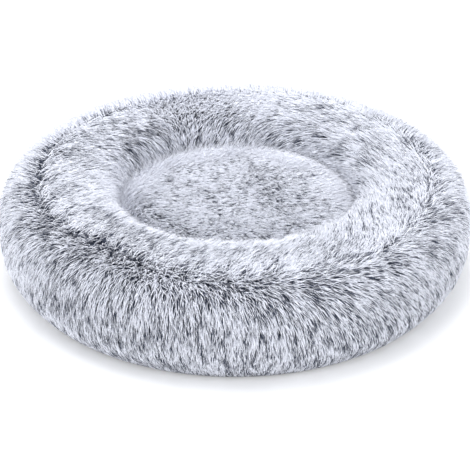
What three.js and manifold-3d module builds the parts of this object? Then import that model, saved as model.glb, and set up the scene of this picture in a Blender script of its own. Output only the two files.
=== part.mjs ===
// A round pet bed: a stuffed plush bolster ring round a well, and a loose plush cushion that lies in it.
// The bolster's cover has two plush panels, joined along the shoulder. Below the outer panel a plain cloth
// band runs round the base. A coil zip replaces the band at the back, so that the stuffed liner comes out.
// Millimetres, +Z up. The origin is the middle of the underside, and the front faces -Y.
import * as THREE from "three";
import { mergeVertices } from "three/addons/utils/BufferGeometryUtils.js";
import Module from "manifold-3d";

const wasm = await Module();
wasm.setup();

// Driving dimensions.
const BED_RADIUS = 392; // to the lie of the pile, at the widest
const BED_HEIGHT = 170;
const WELL_RADIUS = 206; // at the narrowest
const WIDEST_Z = 78; // height of the widest line of the bolster
const PLUSH = 14; // backing and laid pile
const SHOULDER_SETBACK = 58; // of the seam between the outer and inner panels, from the widest line
const OUTER_POWER = 3; // squareness of the section's upper outer quarter, where 2 is an ellipse
const WELL_POWER = 3.6; // of its upper quarter on the well's side
const LOWER_POWER = 3; // of its lower half
const GAP = 0.3; // between pieces that touch
const CLOTH = 1.2; // base cloth, doubled at its seams
const LINER = 1.5; // non-woven sleeve
const WADDING = 8;
const FLOOR_CLOTH = 1;
const BAND_SETBACK = 34; // of the band round the base, from the widest line
const BAND_TOP = 27.2;
const HEM = 4; // turned edge of the outer panel
const HEM_LAP = 2; // of the hem over the band's edge
const LINER_SETBACK = 6; // the liner stays clear of the zip slider's inner plate
const CUSHION_CLEARANCE = 3; // round the cushion, in the well
const CUSHION_HEIGHT = 112;
const CUSHION_POWER = 5; // squareness of the cushion's section
const CUSHION_CLOTH = 1;
const CUSHION_SEAM = -42; // degrees on the cushion's section, where the plush ends

// Zip, size 5 coil, set in the line of the band.
const ZIP_FROM = 25; // degrees from +X
const ZIP_TO = 155;
const CHAIN_Z = 14.75;
const TAPE = 1;
const COIL = 3.2; // thickness of the coil
const COIL_WIDTH = 2.15;
const CHAIN_GAP = 1.2; // between the two coils, where the slider's web runs
const STOP_LENGTH = 3;
const SLIDER_LENGTH = 11;
const SLIDER_WIDTH = 9;
const SLIDER_PLATE = 1.4;
const SLIDER_WEB = 0.8;
const SLIDER_PLAY = 0.5; // between the coil and the slider's plates
const CROWN_LENGTH = 8.6;
const CROWN_HEIGHT = 3.2;
const CROWN_BAR = 0.8;
const CROWN_WIDTH = 1.6;
const PULL_LENGTH = 30;
const PULL_WIDTH = 8;
const PULL_EYE_WIDTH = 5.2;
const PULL_THICKNESS = 1;
const PULL_PIVOT = 1.2; // height of the pull's crossbar over the slider's plate

const LABEL_AT = 215; // degrees
const LABEL_WIDTH = 30;
const LABEL = 0.5;

const AROUND = 48; // facets round the bed
const SECTION_STEP = 15; // degrees between the section's points, the same in every layer
const SEAM_TURN = 0.25; // degrees of a section between two panels, which is about the gap
const ARC_STEP = 2.5; // degrees, on the zip and the band

// Values that follow from them.
const RING_RADIUS = (BED_RADIUS + WELL_RADIUS) / 2;
const RING_HALF = (BED_RADIUS - WELL_RADIUS) / 2;
const BASE_TOP = CLOTH + GAP;
const FLOOR_Z = BASE_TOP + WADDING + GAP;
const FLOOR_TOP = FLOOR_Z + FLOOR_CLOTH;
const HEM_Z = BAND_TOP + GAP;
const BAND_RADIUS = BED_RADIUS - BAND_SETBACK;
const TAPE_RADIUS = BAND_RADIUS - CLOTH / 2;

const MATERIALS = {
  plush: new THREE.MeshStandardMaterial({ color: 0xc9ccd6, roughness: 0.95, metalness: 0 }),
  nonwoven: new THREE.MeshStandardMaterial({ color: 0xe9e9ea, roughness: 0.9, metalness: 0 }),
  fibre: new THREE.MeshStandardMaterial({ color: 0xf4f4f2, roughness: 1, metalness: 0 }),
  oxford: new THREE.MeshStandardMaterial({ color: 0x6d7076, roughness: 0.85, metalness: 0 }),
  tape: new THREE.MeshStandardMaterial({ color: 0x5c5f66, roughness: 0.85, metalness: 0 }),
  coil: new THREE.MeshStandardMaterial({ color: 0x54575e, roughness: 0.45, metalness: 0 }),
  metal: new THREE.MeshStandardMaterial({ color: 0x8d9096, roughness: 0.35, metalness: 1 }),
  label: new THREE.MeshStandardMaterial({ color: 0xf2f2f0, roughness: 0.6, metalness: 0 }),
};

const bed = new THREE.Group();

function place(name, geometry, material, parent = bed) {
  const mesh = new THREE.Mesh(geometry, MATERIALS[material]);
  mesh.name = name;
  parent.add(mesh);
  return mesh;
}

// A solid turned about the Z axis from [radius, height] points, in either order.
function turned(points) {
  const area = points.reduce((sum, [r, z], i) => {
    const [nextR, nextZ] = points[(i + 1) % points.length];
    return sum + r * nextZ - nextR * z;
  }, 0);
  const ordered = area > 0 ? points : [...points].reverse();
  const closed = ordered.every(([r]) => r > 0) ? [...ordered, ordered[0]] : ordered;
  const profile = closed.map(([r, z]) => new THREE.Vector2(r, z));
  return new THREE.LatheGeometry(profile, AROUND).rotateX(Math.PI / 2);
}

// A disc, starting and ending on the axis.
function disc(radius, bottom, thickness) {
  return turned([
    [0, bottom],
    [radius, bottom],
    [radius, bottom + thickness],
    [0, bottom + thickness],
  ]);
}

// Part of an upright ring, between two angles in degrees and two heights.
function arc(innerRadius, outerRadius, from, to, bottom, top) {
  const steps = Math.max(1, Math.ceil((to - from) / ARC_STEP));
  const points = [];
  for (const [radius, start, end] of [
    [outerRadius, from, to],
    [innerRadius, to, from],
  ]) {
    for (let i = 0; i <= steps; i++) {
      const angle = THREE.MathUtils.degToRad(start + ((end - start) * i) / steps);
      points.push(new THREE.Vector2(radius * Math.cos(angle), radius * Math.sin(angle)));
    }
  }
  const sector = new THREE.ExtrudeGeometry(new THREE.Shape(points), {
    depth: top - bottom,
    bevelEnabled: false,
  });
  return sector.translate(0, 0, bottom);
}

function solidOf(geometry) {
  const bare = geometry.clone();
  bare.deleteAttribute("normal");
  bare.deleteAttribute("uv");
  const merged = mergeVertices(bare);
  return new wasm.Manifold(
    new wasm.Mesh({
      numProp: 3,
      vertProperties: new Float32Array(merged.attributes.position.array),
      triVerts: new Uint32Array(merged.index.array),
    }),
  );
}

function geometryOf(solid) {
  const mesh = solid.getMesh();
  const geometry = new THREE.BufferGeometry();
  geometry.setAttribute("position", new THREE.BufferAttribute(mesh.vertProperties, 3));
  geometry.setIndex(new THREE.BufferAttribute(mesh.triVerts, 1));
  geometry.computeVertexNormals();
  return geometry;
}

const signedPower = (value, power) => Math.sign(value) * Math.abs(value) ** power;

// Angles from one to another, with every whole step of the section between them.
function angles(from, to) {
  const between = [];
  for (let angle = -90; angle <= 270; angle += SECTION_STEP) {
    if (angle > Math.min(from, to) && angle < Math.max(from, to)) between.push(angle);
  }
  if (from > to) between.reverse();
  return [from, ...between, to];
}

// A point of the bolster's section. The angle is in degrees: 0 is the widest line, 90 the top, 180 the well
// side and 270 the underside. Inset is inwards from the lie of the pile, and bottom is the lowest height.
function sectionPoint(angle, inset, bottom) {
  const turn = THREE.MathUtils.degToRad(angle);
  const above = Math.sin(turn) >= 0;
  const upper = Math.cos(turn) >= 0 ? OUTER_POWER : WELL_POWER;
  const power = 2 / (above ? upper : LOWER_POWER);
  const rise = above ? BED_HEIGHT - WIDEST_Z - inset : WIDEST_Z - bottom;
  return [
    RING_RADIUS + (RING_HALF - inset) * signedPower(Math.cos(turn), power),
    WIDEST_Z + rise * signedPower(Math.sin(turn), power),
  ];
}

const sectionRun = (from, to, inset, bottom) =>
  angles(from, to).map((angle) => sectionPoint(angle, inset, bottom));

// The angles of the section's lower outer quarter at a height, and at a radius.
function angleAtHeight(height, bottom) {
  const share = (WIDEST_Z - height) / (WIDEST_Z - bottom);
  return -THREE.MathUtils.radToDeg(Math.asin(share ** (LOWER_POWER / 2)));
}

function angleAtRadius(radius, inset) {
  const share = (radius - RING_RADIUS) / (RING_HALF - inset);
  return -THREE.MathUtils.radToDeg(Math.acos(share ** (LOWER_POWER / 2)));
}

const seamShare = 1 - SHOULDER_SETBACK / RING_HALF;
const SHOULDER_SEAM = THREE.MathUtils.radToDeg(Math.acos(seamShare ** (OUTER_POWER / 2)));

// Outer plush panel: from its hem over the widest line to the shoulder seam.
function outerPanel() {
  const hemTop = HEM_Z + HEM;
  return turned([
    ...sectionRun(angleAtHeight(HEM_Z, BASE_TOP), SHOULDER_SEAM, 0, BASE_TOP),
    ...sectionRun(SHOULDER_SEAM, angleAtHeight(hemTop, BASE_TOP), PLUSH, BASE_TOP),
    [BAND_RADIUS - HEM_LAP, hemTop],
    [BAND_RADIUS - HEM_LAP, HEM_Z],
  ]);
}

// Inner plush panel: from the shoulder seam over the top and down the wall of the well to its floor.
function innerPanel() {
  const start = SHOULDER_SEAM + SEAM_TURN;
  const end = 180 - angleAtHeight(FLOOR_TOP + GAP, BASE_TOP);
  return turned([...sectionRun(start, end, 0, BASE_TOP), ...sectionRun(end, start, PLUSH, BASE_TOP)]);
}

// The stuffed section inside the plush, which steps in under the outer panel's hem to clear the zip. Inset is
// from the plush's own inner face.
function stuffedLoop(inset) {
  const bottom = BASE_TOP + inset;
  const limit = BAND_RADIUS - LINER_SETBACK - inset;
  const shelf = HEM_Z + HEM + GAP + inset;
  const total = PLUSH + GAP + inset;
  return [
    ...sectionRun(-90, angleAtRadius(limit, total), total, bottom),
    [limit, shelf],
    ...sectionRun(angleAtHeight(shelf, bottom), 270 - SEAM_TURN, total, bottom),
  ];
}

// Non-woven liner: a sleeve round the stuffing, left open along the slit it was filled through.
function bolsterLiner() {
  return turned([...stuffedLoop(0), ...stuffedLoop(LINER).reverse()]);
}

const bolsterFill = () => turned(stuffedLoop(LINER + GAP));

// Widest radius of a flat disc that lies inside the liner's ring, up to this height.
function discRadius(height) {
  const [radius] = sectionPoint(180 - angleAtHeight(height, BASE_TOP), PLUSH + GAP, BASE_TOP);
  return radius - GAP;
}

place("outer_fur_panel", outerPanel(), "plush");
place("inner_fur_panel", innerPanel(), "plush");
place("bolster_liner", bolsterLiner(), "nonwoven");
place("bolster_fill", bolsterFill(), "fibre");

// Base: the cloth underside, its wadding and the cloth floor of the well.
place("base_panel", disc(BAND_RADIUS, 0, CLOTH), "oxford");
place("base_wadding", disc(discRadius(FLOOR_Z) - LINER, BASE_TOP, WADDING), "fibre");
place("well_floor_panel", disc(discRadius(FLOOR_TOP), FLOOR_Z, FLOOR_CLOTH), "oxford");

// Cloth band round the base, everywhere but along the zip.
const BAND_END = THREE.MathUtils.radToDeg(GAP / BAND_RADIUS);
place(
  "base_side_band",
  arc(BAND_RADIUS - CLOTH, BAND_RADIUS, ZIP_TO + BAND_END, ZIP_FROM + 360 - BAND_END, BASE_TOP, BAND_TOP),
  "oxford",
);

// Zip: two tapes, two coils and a stop at each end of the chain.
const STOP_ANGLE = THREE.MathUtils.radToDeg(STOP_LENGTH / TAPE_RADIUS);
const COIL_FROM = ZIP_FROM + 2 * STOP_ANGLE;
const COIL_TO = ZIP_TO - 2 * STOP_ANGLE;
const coilNear = CHAIN_GAP / 2;
const coilFar = coilNear + COIL_WIDTH;
const tapeNear = coilFar + GAP;
for (const [side, bottom, top] of [
  ["lower", BASE_TOP, CHAIN_Z - tapeNear],
  ["upper", CHAIN_Z + tapeNear, BAND_TOP],
]) {
  const inner = TAPE_RADIUS - TAPE / 2;
  place("zip_tape_" + side, arc(inner, inner + TAPE, ZIP_FROM, ZIP_TO, bottom, top), "tape");
}
for (const [side, bottom, top] of [
  ["lower", CHAIN_Z - coilFar, CHAIN_Z - coilNear],
  ["upper", CHAIN_Z + coilNear, CHAIN_Z + coilFar],
]) {
  const inner = TAPE_RADIUS - COIL / 2;
  place("zip_coil_" + side, arc(inner, inner + COIL, COIL_FROM, COIL_TO, bottom, top), "coil");
}
for (const [end, from] of [
  ["top", COIL_FROM - BAND_END - STOP_ANGLE],
  ["bottom", COIL_TO + BAND_END],
]) {
  const inner = TAPE_RADIUS - COIL / 2;
  const stop = arc(inner, inner + COIL, from, from + STOP_ANGLE, CHAIN_Z - coilFar, CHAIN_Z + coilFar);
  place("zip_" + end + "_stop", stop, "metal");
}

// Slider: two plates over the chain joined by a web between the coils, with a crown that holds the pull.
// It is built at angle 0, where +X is outwards and +Y runs along the zip.
const SLIDER_PARK = COIL_FROM + THREE.MathUtils.radToDeg((SLIDER_LENGTH / 2 + 1) / TAPE_RADIUS);
const PLATE_INNER = TAPE_RADIUS - COIL / 2 - SLIDER_PLAY;
const PLATE_OUTER = TAPE_RADIUS + COIL / 2 + SLIDER_PLAY;
const SLIDER_FACE = PLATE_OUTER + SLIDER_PLATE;
const sliderHalf = THREE.MathUtils.radToDeg(SLIDER_LENGTH / 2 / TAPE_RADIUS);
const zBottom = CHAIN_Z - SLIDER_WIDTH / 2;
const zTop = CHAIN_Z + SLIDER_WIDTH / 2;

// The crown: an arch that stands on the outer plate and spans the pull's crossbar.
function crown() {
  const half = CROWN_LENGTH / 2;
  const foot = SLIDER_FACE - SLIDER_PLATE / 2;
  const top = SLIDER_FACE + CROWN_HEIGHT;
  const bend = 1.2;
  const outline = (side, height) => [
    [foot, -side],
    [height - bend, -side],
    [height, -side + bend],
    [height, side - bend],
    [height - bend, side],
    [foot, side],
  ];
  const shape = new THREE.Shape(
    [...outline(half, top), ...outline(half - CROWN_BAR, top - CROWN_BAR).reverse()].map(
      ([x, y]) => new THREE.Vector2(x, y),
    ),
  );
  const arch = new THREE.ExtrudeGeometry(shape, { depth: CROWN_WIDTH, bevelEnabled: false });
  return arch.translate(0, 0, CHAIN_Z - CROWN_WIDTH / 2);
}

function slider() {
  const webBottom = CHAIN_Z - SLIDER_WEB / 2;
  const webInner = PLATE_INNER - SLIDER_PLATE / 2;
  const webOuter = PLATE_OUTER + SLIDER_PLATE / 2;
  return [
    arc(PLATE_INNER - SLIDER_PLATE, PLATE_INNER, -sliderHalf, sliderHalf, zBottom, zTop),
    arc(webInner, webOuter, -sliderHalf / 2, sliderHalf, webBottom, webBottom + SLIDER_WEB),
    arc(PLATE_OUTER, SLIDER_FACE, -sliderHalf, sliderHalf, zBottom, zTop),
    crown(),
  ]
    .map(solidOf)
    .reduce((whole, piece) => whole.add(piece));
}

// Pull tab: a flat tab with an eye round the crown, lying along the zip.
function pull() {
  const bar = 1.2;
  const eyeEnd = CROWN_LENGTH / 2 + 1;
  const eyeHalf = CROWN_WIDTH / 2 + 0.6;
  const tab = new THREE.Shape();
  const round = PULL_WIDTH / 2;
  tab.moveTo(-bar / 2, -PULL_EYE_WIDTH / 2);
  tab.lineTo(eyeEnd, -PULL_EYE_WIDTH / 2);
  tab.lineTo(eyeEnd + round, -round);
  tab.lineTo(PULL_LENGTH - round, -round);
  tab.absarc(PULL_LENGTH - round, 0, round, -Math.PI / 2, Math.PI / 2, false);
  tab.lineTo(eyeEnd + round, round);
  tab.lineTo(eyeEnd, PULL_EYE_WIDTH / 2);
  tab.lineTo(-bar / 2, PULL_EYE_WIDTH / 2);
  const eye = new THREE.Path();
  eye.moveTo(bar / 2, -eyeHalf);
  eye.lineTo(bar / 2, eyeHalf);
  eye.lineTo(eyeEnd, eyeHalf);
  eye.lineTo(eyeEnd, -eyeHalf);
  tab.holes.push(eye);
  const depth = PULL_THICKNESS;
  const plate = new THREE.ExtrudeGeometry(tab, { depth, bevelEnabled: false, curveSegments: 6 });
  // The tab's length goes along the zip, its width upwards and its thickness outwards.
  plate.translate(0, 0, -depth / 2);
  plate.applyMatrix4(
    new THREE.Matrix4().makeBasis(
      new THREE.Vector3(0, 1, 0),
      new THREE.Vector3(0, 0, 1),
      new THREE.Vector3(1, 0, 0),
    ),
  );
  return plate.translate(SLIDER_FACE + PULL_PIVOT, 0, CHAIN_Z);
}

const runner = new THREE.Group();
runner.rotation.z = THREE.MathUtils.degToRad(SLIDER_PARK);
place("zip_slider", geometryOf(slider()), "metal", runner);
place("zip_pull", pull(), "metal", runner);
bed.add(runner);

// Care label, sewn under the outer panel's hem.
const label = new THREE.BoxGeometry(LABEL, LABEL_WIDTH, BAND_TOP - BASE_TOP - GAP);
label.translate(BAND_RADIUS + GAP + LABEL / 2, 0, (BAND_TOP + BASE_TOP) / 2);
place("care_label", label, "label").rotation.z = THREE.MathUtils.degToRad(LABEL_AT);

// Cushion: a plush top that reaches down its side, a cloth underside and the stuffing between them.
const CUSHION_RADIUS = WELL_RADIUS - CUSHION_CLEARANCE;
const CUSHION_BOTTOM = FLOOR_TOP + GAP;
const CUSHION_WIDEST_Z = CUSHION_BOTTOM + CUSHION_HEIGHT * 0.45;

function cushionPoint(angle, inset) {
  const turn = THREE.MathUtils.degToRad(angle);
  const power = 2 / CUSHION_POWER;
  const above = CUSHION_BOTTOM + CUSHION_HEIGHT - CUSHION_WIDEST_Z;
  const rise = (angle >= 0 ? above : CUSHION_WIDEST_Z - CUSHION_BOTTOM) - inset;
  const radius = Math.abs(angle) === 90 ? 0 : (CUSHION_RADIUS - inset) * Math.cos(turn) ** power;
  return [radius, CUSHION_WIDEST_Z + rise * signedPower(Math.sin(turn), power)];
}

const cushionRun = (from, to, inset) => angles(from, to).map((angle) => cushionPoint(angle, inset));

const CLOTH_END = CUSHION_SEAM - SEAM_TURN;
const cushionTop = [...cushionRun(90, CUSHION_SEAM, 0), ...cushionRun(CUSHION_SEAM, 90, PLUSH)];
const cushionCloth = [...cushionRun(-90, CLOTH_END, 0), ...cushionRun(CLOTH_END, -90, CUSHION_CLOTH)];
const cushionFill = [
  ...cushionRun(-90, CLOTH_END, CUSHION_CLOTH + GAP),
  ...cushionRun(CLOTH_END, 90, PLUSH + GAP),
];
place("cushion_fur_top", turned(cushionTop), "plush");
place("cushion_base_cloth", turned(cushionCloth), "oxford");
place("cushion_fill", turned(cushionFill), "fibre");

export default bed;
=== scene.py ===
import math

import bpy
import numpy as np
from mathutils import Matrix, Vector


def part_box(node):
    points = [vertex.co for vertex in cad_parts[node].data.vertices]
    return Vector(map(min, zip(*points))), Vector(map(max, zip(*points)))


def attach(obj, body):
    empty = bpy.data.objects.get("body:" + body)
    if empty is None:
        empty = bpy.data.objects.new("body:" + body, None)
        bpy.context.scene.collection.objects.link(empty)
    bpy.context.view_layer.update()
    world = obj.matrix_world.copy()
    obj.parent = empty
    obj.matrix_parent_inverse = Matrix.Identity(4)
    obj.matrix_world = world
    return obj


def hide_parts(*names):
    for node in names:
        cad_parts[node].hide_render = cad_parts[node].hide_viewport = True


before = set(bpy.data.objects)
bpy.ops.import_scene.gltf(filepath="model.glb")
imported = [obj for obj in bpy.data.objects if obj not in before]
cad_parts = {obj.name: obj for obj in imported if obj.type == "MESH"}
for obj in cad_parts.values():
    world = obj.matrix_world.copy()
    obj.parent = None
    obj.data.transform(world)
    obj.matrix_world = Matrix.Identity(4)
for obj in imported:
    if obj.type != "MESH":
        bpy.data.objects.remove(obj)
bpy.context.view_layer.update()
MM = 0.001
CHANCE = np.random.default_rng(8)


# ---------------------------------------------------------------------------------------------------------
# Bolster's insert: hollow fibre blown into a ring-shaped sleeve of white spun non-woven cloth, which lies
# loose in the plush cover and comes out at the zip.

BED_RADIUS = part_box("outer_fur_panel")[1][0]  # to the lie of the pile
BED_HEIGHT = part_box("inner_fur_panel")[1][2]
WELL_RADIUS = 206 * MM
WIDEST_Z = 78 * MM
FLOOR_UNDER_RING = 1.5 * MM
OUTER_POWER, WELL_POWER, LOWER_POWER = 3.0, 3.6, 3.0  # squareness of the section's quarters
INSERT_INSET = 17 * MM
SHELF_Z = 33 * MM  # below this the insert steps in, to clear the band and the zip
SHELF_SLOPE = 5 * MM  # height over which it widens again
SHELF_FLARE = 60 * MM
SHELF_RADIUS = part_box("base_panel")[1][0] - 9 * MM
SPUN_WHITE = "#e9e9ea"


def linear(hex_colour):
    """An sRGB colour as the linear values that a shader takes."""
    values = [int(hex_colour[i : i + 2], 16) / 255 for i in (1, 3, 5)]
    return [v / 12.92 if v <= 0.04045 else ((v + 0.055) / 1.055) ** 2.4 for v in values] + [1]


def add(tree, kind, settings=None, **sockets):
    """Adds a node, sets what it has, and fills its inputs from values or from other nodes' outputs."""
    node = tree.nodes.new(kind)
    for name, value in (settings or {}).items():
        setattr(node, name, value)
    for name, value in sockets.items():
        socket = node.inputs[int(name[1:]) if name[0] == "_" else name.replace("_", " ")]
        if isinstance(value, bpy.types.NodeSocket):
            tree.links.new(value, socket)
        else:
            socket.default_value = value
    return node


def material(name, **values):
    """A new Principled material, its node tree and its shader."""
    made = bpy.data.materials.new(name)
    made.use_nodes = True
    shader = made.node_tree.nodes["Principled BSDF"]
    for socket, value in values.items():
        shader.inputs[socket.replace("_", " ")].default_value = value
    return made, made.node_tree, shader


def piece(name, points, faces, surface, body, slot, replaces=(), smooth=True):
    """A mesh that rides on a body, with the finish that it is given. Slot is not used."""
    mesh = bpy.data.meshes.new(name)
    mesh.from_pydata(np.asarray(points).tolist(), [], [[int(i) for i in face] for face in faces])
    mesh.polygons.foreach_set("use_smooth", [smooth] * len(mesh.polygons))
    mesh.materials.append(surface)
    made = bpy.data.objects.new(name, mesh)
    bpy.context.scene.collection.objects.link(made)
    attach(made, body)
    if replaces:
        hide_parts(*replaces)
    return made


def evenly(angles, radii, heights, steps):
    """A section's points at even distances along it: radii, heights and angles."""
    along = np.concatenate([[0], np.cumsum(np.hypot(np.diff(radii), np.diff(heights)))])
    marks = np.linspace(0, along[-1], steps)
    return [np.interp(marks, along, values) for values in (radii, heights, angles)]


def section(start, end, inset, steps=90, underside=FLOOR_UNDER_RING):
    """Radii, heights and angles of the bolster's section, between two angles in degrees: 0 is the widest
    line, 90 the top, 180 the side of the well and 270 the underside."""
    angles = np.linspace(start, end, 4001)
    cosine, sine = np.cos(np.radians(angles)), np.sin(np.radians(angles))
    power = 2 / np.where(sine < 0, LOWER_POWER, np.where(cosine >= 0, OUTER_POWER, WELL_POWER))
    rise = np.where(sine < 0, WIDEST_Z - underside, BED_HEIGHT - WIDEST_Z - inset)
    middle, half = (BED_RADIUS + WELL_RADIUS) / 2, (BED_RADIUS - WELL_RADIUS) / 2 - inset
    return evenly(
        angles,
        middle + half * np.sign(cosine) * np.abs(cosine) ** power,
        WIDEST_Z + rise * np.sign(sine) * np.abs(sine) ** power,
        steps,
    )


def swell(turn, along, amount, seed, waves=6):
    """Gentle random unevenness: a sum of waves, round the ring and along its section."""
    chance = np.random.default_rng(seed)
    total = np.zeros(np.broadcast(turn, along).shape)
    for _ in range(waves):
        m, n, p = chance.integers(1, 9), chance.uniform(5, 25), chance.uniform(0, 2 * np.pi)
        total = total + np.sin(m * turn + n * along + p) / waves**0.5
    return amount * total


def turned(radii, heights, around=192, closed=False, lumps=0.0, seed=1):
    """A surface turned about Z from a section. Lumps push it out along its normal, unevenly."""
    radii, heights = np.asarray(radii, float), np.asarray(heights, float)
    run_r, run_z = np.gradient(radii), np.gradient(heights)
    size = np.hypot(run_r, run_z) + 1e-12
    along = np.cumsum(size)
    turn = np.linspace(0, 2 * np.pi, around, endpoint=False)[:, None]
    push = swell(turn, along[None, :], lumps, seed)
    r = radii + push * run_z / size
    z = heights - push * run_r / size
    points = np.stack([r * np.cos(turn), r * np.sin(turn), z + 0 * turn], -1).reshape(-1, 3)
    count = len(radii)
    i = np.arange(around)[:, None] * count
    j = np.arange(count if closed else count - 1)[None, :]
    k, up = (i + count) % (around * count), (j + 1) % count
    faces = np.stack([i + j, k + j, k + up, i + up], -1).reshape(-1, 4)
    return points, faces


def uneven_surface(tree, shader, size, depth):
    """Bump of a fibrous or crumpled surface, from the size of its unevenness and its depth."""
    coordinates = add(tree, "ShaderNodeTexCoord")
    noise = add(tree, "ShaderNodeTexNoise", Vector=coordinates.outputs["Object"], Scale=1 / size, Detail=3.0)
    bump = add(tree, "ShaderNodeBump", Height=noise.outputs["Fac"], Distance=depth, Strength=0.6)
    tree.links.new(bump.outputs[0], shader.inputs["Normal"])


# Spun-bonded polypropylene: matt white, a little crumpled, bonded at fine points.
insert_white, tree, shader = material("spun-bonded sleeve", Roughness=0.9, Base_Color=linear(SPUN_WHITE))
uneven_surface(tree, shader, 6 * MM, 1 * MM)

ring_r, ring_z, _ = section(-90, 266, INSERT_INSET, steps=160, underside=3 * MM)
above_shelf = np.clip((ring_z - SHELF_Z) / SHELF_SLOPE, 0, 1)
ring_r = np.minimum(ring_r, SHELF_RADIUS + SHELF_FLARE * above_shelf)
insert = piece(
    "bolster_insert",
    *turned(ring_r, ring_z, closed=True, lumps=1 * MM),
    insert_white,
    "bed",
    "nonwoven",
    ("bolster_liner", "bolster_fill"),
)


# ---------------------------------------------------------------------------------------------------------
# Outer and inner panels of the cover: long-pile polyester plush on a knitted backing, dyed charcoal at the
# roots and frosted white at the tips. They are sewn together along the shoulder, where the pile parts: it
# hangs down over the outer panel and leans inwards over the inner one.

BACKING_INSET = 8 * MM
BACKING_THICKNESS = 3 * MM
HEM_ANGLE = -32.4  # of the section, where the outer panel's edge meets the band
HEM_LAP = 2 * MM  # over the band's top edge
HEM_TURN = 3.7  # degrees of the section that the turned edge takes up on its inner face
SEAM_GAP = 0.3  # degrees
WELL_ANGLE = 240
SEAM_RADIUS = 334 * MM
PILE_LENGTH = 34 * MM
PILE_SPACING = 2.4 * MM  # between tufts, each of which stands for a lock of hairs
TUFT_WIDTH = 1.5 * MM
PIECE_TUFTS = 12000  # in one mesh
LOCK_LENGTH, LOCK_BREADTH = 16 * MM, 6.5 * MM  # a group of tufts whose tips draw together
STREAK_LENGTH, STREAK_BREADTH = 14 * MM, 2.5 * MM  # a group of tufts with the dye showing
STREAK_LOT = 9173, 131.3  # factors of the lot that chooses which groups are streaks
EDGE_GAP = 1.5 / 1024  # between a tuft's edges in its unwrapping
PILE_REACH = BED_RADIUS + 15.5 * MM  # the furthest that tips stand out, and up
PILE_TOP = BED_HEIGHT + 13.5 * MM
PILE_BOTTOM = 2 * MM
PRESS = 9 * MM  # thickness of pile that is squeezed softly below those limits
TUCK, TUCK_TOP = 46 * MM, 82 * MM  # how far the pile tucks in at the floor, and from what height
ROOT_CHARCOAL = "#4c5262"
TIP_WHITE = "#f5f7ff"
KNIT_CHARCOAL = "#666c7a"

# Knitted polyester, dyed with the roots of the pile, which all but hides it.
knit, tree, shader = material("dyed knitted backing", Roughness=1.0, Base_Color=linear(KNIT_CHARCOAL))
uneven_surface(tree, shader, 2 * MM, 0.5 * MM)

# Drawn polyester pile: a soft sheen, charcoal at the roots and frosted at the tips.
plush, tree, shader = material("frosted polyester pile", Roughness=0.65, IOR=1.45)
shader.inputs["Specular IOR Level"].default_value = 0.25
along_hair = add(tree, "ShaderNodeAttribute", {"attribute_name": "along"})
frosting_and_painted_light = add(tree, "ShaderNodeAttribute", {"attribute_name": "frosting_and_painted_light"})
# The dye stops somewhere between the root and most of the way up, and the frosting takes over from it.
dye_end = add(tree, "ShaderNodeMapRange", _0=frosting_and_painted_light.outputs["Fac"], To_Min=0.84, To_Max=0.08)
above_dye = add(
    tree,
    "ShaderNodeMath",
    {"operation": "SUBTRACT"},
    _0=along_hair.outputs["Fac"],
    _1=dye_end.outputs[0],
)
share = add(
    tree,
    "ShaderNodeMapRange",
    {"interpolation_type": "SMOOTHSTEP"},
    _0=above_dye.outputs[0],
    From_Min=-0.1,
    From_Max=0.12,
)
mix = add(tree, "ShaderNodeMix", {"data_type": "RGBA"}, _0=share.outputs[0])
mix.inputs["A"].default_value = linear(ROOT_CHARCOAL)
mix.inputs["B"].default_value = linear(TIP_WHITE)
tree.links.new(mix.outputs["Result"], shader.inputs["Base Color"])


def scattered(radii, heights, spacing, chance):
    """Roots spread evenly over a turned surface: each one's place along the section and its turn about Z."""
    size = np.hypot(np.diff(radii), np.diff(heights))
    along = np.concatenate([[0], np.cumsum(size)])
    rows = np.arange(spacing / 2, along[-1], spacing)
    places, turns = [], []
    for row in rows:
        count = max(3, int(2 * np.pi * np.interp(row, along, radii) / spacing))
        places.append(row + chance.uniform(-0.5, 0.5, count) * spacing)
        turns.append((np.arange(count) + chance.uniform(-0.5, 0.5, count)) * 2 * np.pi / count)
    return np.clip(np.concatenate(places), 0, along[-1]), np.concatenate(turns) % (2 * np.pi), along


def on_surface(radii, heights, along, place, turn):
    """Points, normals, directions up the section and directions round the ring."""
    run_r, run_z = np.gradient(radii, along), np.gradient(heights, along)
    tr, tz = np.interp(place, along, run_r), np.interp(place, along, run_z)
    size = np.hypot(tr, tz)
    tr, tz = tr / size, tz / size
    r, z = np.interp(place, along, radii), np.interp(place, along, heights)
    c, s = np.cos(turn), np.sin(turn)
    return (
        np.stack([r * c, r * s, z], 1),
        np.stack([tz * c, tz * s, -tr], 1),
        np.stack([tr * c, tr * s, tz], 1),
        np.stack([-s, c, 0 * c], 1),
    )


def nearest_lock(radii, along, place, turn, size, breadth, chance):
    """The lock that each tuft belongs to: its place and turn. Size is a lock's length along the section and
    breadth its width round the ring."""
    rows = int(along[-1] / size) + 3
    row_place = (np.arange(rows) - 0.5) * size
    counts = np.maximum(4, (2 * np.pi * np.interp(row_place, along, radii) / breadth).astype(int))
    best = np.full(len(place), np.inf)
    found_place, found_turn = np.zeros(len(place)), np.zeros(len(place))
    wander = chance.uniform(-0.48, 0.48, (rows, counts.max(), 2))
    r = np.interp(place, along, radii)
    row = np.floor(place / size).astype(int) + 1
    for dr in (-1, 0, 1):
        i = np.clip(row + dr, 0, rows - 1)
        column = np.floor(turn / (2 * np.pi) * counts[i]).astype(int)
        for dc in (-1, 0, 1):
            j = (column + dc) % counts[i]
            p = row_place[i] + wander[i, j, 0] * size
            t = (j + 0.5 + wander[i, j, 1]) * 2 * np.pi / counts[i]
            apart = (t - turn + np.pi) % (2 * np.pi) - np.pi
            gap = ((p - place) / size) ** 2 + (apart * r / breadth) ** 2
            better = gap < best
            best = np.where(better, gap, best)
            found_place = np.where(better, p, found_place)
            found_turn = np.where(better, turn + apart, found_turn)
    return found_place, found_turn


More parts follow.
